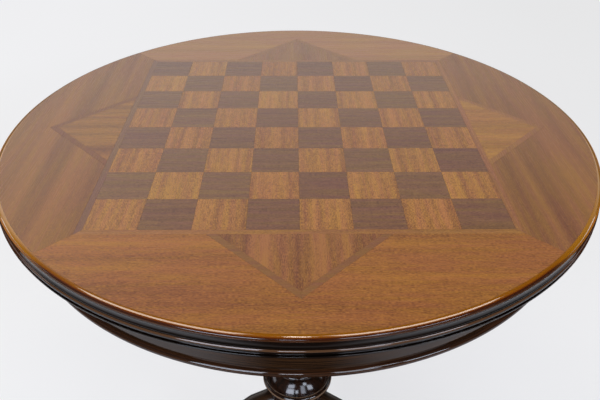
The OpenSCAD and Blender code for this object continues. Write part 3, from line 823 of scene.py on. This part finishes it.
def bare_wood(name, pale, dark, ring_mm, along, roughness=0.62):
    """Planed wood: growth bands stretched along one axis, with fine fibres over them."""
    material, tree, shader = new_material(name)
    place = add(tree, "TexCoord").outputs["Object"]
    patterns = []
    for size_mm, stretch, detail, bend in ((ring_mm, RING_STRETCH, 3.0, 0.4),
                                           (FIBRE_MM, FIBRE_STRETCH, 1.0, 0.0)):
        scale = [1000 / size_mm] * 3
        scale[along] /= stretch
        stretched = add(tree, "Mapping", {"Vector": place, "Scale": scale}).outputs[0]
        patterns.append(add(tree, "TexNoise", {"Vector": stretched, "Scale": 1.0, "Detail": detail,
                                               "Distortion": bend}).outputs["Fac"])
    bands, fibres = patterns
    figure = maths(tree, "MULTIPLY_ADD", fibres, 0.3, bands)
    colour = add(tree, "ValToRGB", {"Fac": figure}, [(0.45, dark), (0.85, pale)]).outputs[0]
    bump = add(tree, "Bump", {"Strength": 0.25, "Distance": 0.0002, "Height": fibres}).outputs[0]
    fill(tree, shader, {"Base Color": colour, "Normal": bump, "Roughness": roughness})
    return material


# pale and dry, with bands that go with the plank
dress(bare_wood("planed pine", "#c49f6a", "#a67c48", 5, 0), "top_core", "apron_bricks", "glue_blocks")
dress(bare_wood("sawn backing veneer", "#9a7448", "#7d5a35", 6, 0), "backing_veneer")
dress(bare_wood("planed beech", "#b88a58", "#9a6e42", 7, 1), "bearer_left", "bearer_right", "head_block")

# %% [markdown]
# ## Metal
# Zinc-plated screws, rod, nuts and washers have a slightly cloudy grey plating. The plate under the hub is
# black iron with a rough skin, and the glides are pressed steel with nickel. One cloud of noise for tone
# and roughness together is enough for parts this small.

# %% Metal finishes
def metal(name, bright, dull, roughness, speck_mm, metallic=1.0):
    """Metal whose tone and roughness wander a little over a few millimetres."""
    material, tree, shader = new_material(name)
    place = add(tree, "TexCoord").outputs["Object"]
    cloud = add(tree, "TexNoise", {"Vector": place, "Scale": 1000 / speck_mm, "Detail": 3.0}).outputs["Fac"]
    colour = add(tree, "ValToRGB", {"Fac": cloud}, [(0.35, dull), (0.65, bright)]).outputs[0]
    gloss = remap(tree, cloud, target=roughness)
    fill(tree, shader, {"Base Color": colour, "Roughness": gloss, "Metallic": metallic})
    return material


# dull silver grains; black skin with no clear mirror; bright warm buttons
dress(metal("zinc plated steel", "#c4c5c2", "#9b9c99", (0.28, 0.45), 3), "bearer_screws",
      "head_block_screws", "spider_screws", "tie_rod", "tie_rod_nuts", "tie_rod_washers")
dress(metal("black iron plate", "#2a2a2b", "#161617", (0.45, 0.65), 2, metallic=0.6), "spider_plate")
dress(metal("nickel plated glide", "#c9c3b4", "#a9a294", (0.15, 0.30), 4), "foot_glides")

# %% [markdown]
# ## The floor
# The table stands on a plain pale floor. A studio floods such a floor with light until it is nearly white,
# but that much light would also flood the table. So most of what the camera sees is an even tone that the
# floor gives off for camera rays only. The rest is the lit floor, which keeps the table's shadow, and its
# share is larger near the table. The tone is a little darker at the right of the pedestal, where its
# shadow falls, and at the far right.

# %% Floor
FLOOR_HALF = 9.0
FLOOR_NEAR, FLOOR_FAR, FLOOR_SIDE = 0.7, 2.2, 1.2
OWN_TONE_NEAR, OWN_TONE_FAR = 0.7, 0.9
NEAR_TONES = [(0.0, "#ffffff"), (0.5, "#fafafc"), (0.54, "#f0f0f2"), (0.6, "#f4f4f6"), (0.75, "#f8f8f9")]
FAR_TONES = [(0.0, "#f7f7f9"), (1.0, "#eeeeef")]


def cover(tree, surface):
    """Puts another shader on the material's output."""
    tree.links.new(surface, tree.nodes["Material Output"].inputs["Surface"])


def floor_material():
    """Pale matt floor: its own even tone for the camera, mixed with the lit floor."""
    material, tree, shader = new_material("pale studio floor")
    fill(tree, shader, {"Base Color": srgb("#ecedef"), "Roughness": 0.9, "Specular IOR Level": 0.1})
    place = add(tree, "TexCoord").outputs["Object"]
    away = add(tree, "VectorMath", {0: place}, operation="LENGTH").outputs["Value"]
    away = remap(tree, away, (FLOOR_NEAR, FLOOR_FAR))
    across = remap(tree, axis(tree, "X"), (-FLOOR_SIDE, FLOOR_SIDE))
    near = add(tree, "ValToRGB", {"Fac": across}, NEAR_TONES).outputs[0]
    far = add(tree, "ValToRGB", {"Fac": across}, FAR_TONES).outputs[0]
    tone = mix(tree, away, near, far)
    even = add(tree, "Emission", {"Color": tone, "Strength": 1.0}).outputs[0]
    seen = add(tree, "LightPath").outputs["Is Camera Ray"]
    share = remap(tree, away, target=(OWN_TONE_NEAR, OWN_TONE_FAR))
    share = maths(tree, "MULTIPLY", seen, share)
    cover(tree, add(tree, "MixShader", {0: share, 1: shader.outputs[0], 2: even}).outputs[0])
    return material


def card(name, left, right, near, far, height, material):
    """Flat rectangle over the floor that belongs to the studio, not to the table."""
    mesh = bpy.data.meshes.new(name)
    corners = [(left, near, height), (right, near, height), (right, far, height), (left, far, height)]
    mesh.from_pydata(corners, [], [(0, 1, 2, 3)])
    mesh.materials.append(material)
    sheet = bpy.data.objects.new(name, mesh)
    scene.collection.objects.link(sheet)
    print(f"{name}: {right - left:.2f} x {far - near:.2f} m")
    return sheet


card("floor", -FLOOR_HALF, FLOOR_HALF, -FLOOR_HALF, FLOOR_HALF, 0, floor_material())

# %% [markdown]
# ## Dark cards
# A photographer lays black cloth where a varnished edge would mirror too much white floor. One card lies
# in front and keeps the middle of the moulding and apron deep. It reaches under the table's front edge,
# and there it is painted shadow: it stands for the table's own shade on the floor, which the evenly
# glowing floor doesn't show in mirrors. Two lie behind, left and right, where the edge's ends mirror the
# floor. Only mirror rays see them, so they leave no shadow and no dark patch on the floor.

# %% Dark cards
CARD_Z = 0.002
# left, right, near and far edges, then where the cloth starts to thin out sideways and where it ends
# the front card's far end, under the table's front edge, is a painted shadow of the table on the floor
CARDS = {"front": (-0.6, 0.6, -1.7, 0.1, 0.1, 0.55), "left": (-4.0, -0.55, 0.3, 5.0, 4.0, 5.0),
         "right": (0.55, 4.0, 0.3, 5.0, 4.0, 5.0)}


def felt(full, gone):
    """Black felt that thins out sideways, between two distances from the middle plane."""
    material, tree, shader = new_material("black felt card")
    fill(tree, shader, {"Base Color": srgb("#101010"), "Roughness": 1.0})
    across = maths(tree, "ABSOLUTE", axis(tree, "X"))
    clear = remap(tree, across, (full, gone), interpolation_type="SMOOTHSTEP")
    nothing = add(tree, "BsdfTransparent").outputs[0]
    cover(tree, add(tree, "MixShader", {0: clear, 1: shader.outputs[0], 2: nothing}).outputs[0])
    return material


for side, (left, right, near, far, full, gone) in CARDS.items():
    flag = card("dark_card_" + side, left, right, near, far, CARD_Z, felt(full, gone))
    flag.visible_camera = flag.visible_diffuse = flag.visible_shadow = False

# %% [markdown]
# ## The room
# The room behind the table is what the satin varnish mirrors as haze. It is bright from about fifteen
# degrees over the floor, and fades towards the ceiling, a little sooner at the right. A picture of a room
# could do it, but a ramp over the direction is plain and can be tuned. Camera rays see pale paper instead.

# %% Room and backdrop
RIGHT_TILT = 0.35
ROOM_GLOW = [(0.0, "#ffffff"), (0.30, "#ffffff"), (0.42, "#efefef"), (0.52, "#d4d4d4"), (0.62, "#a4a4a4"),
             (0.72, "#6c6c6c"), (0.85, "#505050")]
PAPER = "#eaebec"

world = bpy.data.worlds.new("studio")
scene.world = world
world.use_nodes = True
sky = world.node_tree
sky.nodes.clear()
direction = add(sky, "SeparateXYZ", {0: add(sky, "TexCoord").outputs["Generated"]}).outputs
tilted = maths(sky, "MULTIPLY_ADD", direction["X"], RIGHT_TILT, direction["Z"])
glow = add(sky, "ValToRGB", {"Fac": tilted}, ROOM_GLOW).outputs[0]
behind = remap(sky, direction["Y"], (0.35, 0.65), (0.08, 1.2))
above = remap(sky, direction["Z"], (0.17, 0.29), (0.05, 1.0))
strength = maths(sky, "MULTIPLY", behind, above)
room = add(sky, "Background", {"Color": glow, "Strength": strength}).outputs[0]
paper = add(sky, "Background", {"Color": srgb(PAPER), "Strength": 1.0}).outputs[0]
seen = add(sky, "LightPath").outputs["Is Camera Ray"]
add(sky, "OutputWorld", {"Surface": add(sky, "MixShader", {0: seen, 1: room, 2: paper}).outputs[0]})
print("room light:", len(sky.nodes), "nodes")

# %% [markdown]
# ## Windows
# Window panes behind the player are the small bright patches on the dome and along the beads. Two windows
# at the sides light the ends of the moulding. Glowing sheets could stand for them, but area lamps of the
# panes' real size give cleaner light for the same mirror image.

# %% Windows
PANE_Y, PANE_TINT = -2.0, "#e4edff"
SIDE_X, SIDE_Z, SIDE_H, SIDE_RADIANCE, SIDE_TINT = 3.0, 1.2, 0.5, 2.6, "#eef4ff"
QUARTER = math.radians(90)
# left, right, low and high edges in metres, and radiance
PANES = {"pane_left_low": (-1.45, -0.42, 0.95, 1.62, 11), "pane_left_high": (-1.45, -0.42, 1.76, 2.45, 9),
         "pane_middle": (-0.22, 0.05, 1.05, 1.45, 12), "pane_right": (0.42, 1.00, 1.00, 2.20, 6),
         "pane_far_right": (1.50, 2.60, 1.40, 2.30, 10), "pane_right_high": (0.95, 1.55, 2.30, 2.90, 12)}
# place across, near and far edges
SIDE_WINDOWS = {"window_left": (-SIDE_X, -0.4, 1.2), "window_right": (SIDE_X, 0.2, 1.2)}


def lamp(name, matrix, size, radiance, tint):
    """Rectangular area lamp; its power is pi times its area times the radiance wanted."""
    light = bpy.data.lights.new(name, "AREA")
    light.shape = "RECTANGLE"
    light.size, light.size_y = size
    light.energy = math.pi * size[0] * size[1] * radiance
    light.color = srgb(tint)[:3]
    holder = bpy.data.objects.new(name, light)
    holder.matrix_world = matrix
    scene.collection.objects.link(holder)
    print(name, round(light.energy, 1), "W")


for name, (left, right, low, high, radiance) in PANES.items():
    middle = Matrix.Translation(((left + right) / 2, PANE_Y, (low + high) / 2))
    lamp(name, middle @ Matrix.Rotation(QUARTER, 4, "X"), (right - left, high - low), radiance, PANE_TINT)
for name, (x, near, far) in SIDE_WINDOWS.items():
    middle = Matrix.Translation((x, (near + far) / 2, SIDE_Z))
    facing = Matrix.Rotation(QUARTER, 4, "Z") @ Matrix.Rotation(math.copysign(QUARTER, x), 4, "X")
    lamp(name, middle @ facing, (far - near, SIDE_H), SIDE_RADIANCE, SIDE_TINT)

# %% [markdown]
# ## Ceiling lamps
# Three strips hang where the crowned lipping mirrors them towards the camera, so that their images run
# along the edge as thin bright lines. Each is given by the two ends of its middle line on the ceiling.

# %% Ceiling lamps
CEILING, STRIP_TINT = 2.6, "#fff3e4"
# start, end, width in metres, and radiance
STRIPS = {"lamp_left": ((-0.40, -0.42), (-1.80, 0.18), 0.6, 5.15),
          "lamp_middle": ((-0.09, -0.46), (0.09, -0.46), 0.2, 16),
          "lamp_right": ((0.26, -0.45), (1.62, 0.02), 0.5, 5.8)}

for name, (start, end, width, radiance) in STRIPS.items():
    run = Vector(end) - Vector(start)
    middle = Matrix.Translation((*((Vector(start) + Vector(end)) / 2), CEILING))
    along = Matrix.Rotation(math.atan2(run.y, run.x), 4, "Z")
    lamp(name, middle @ along, (run.length, width), radiance, STRIP_TINT)
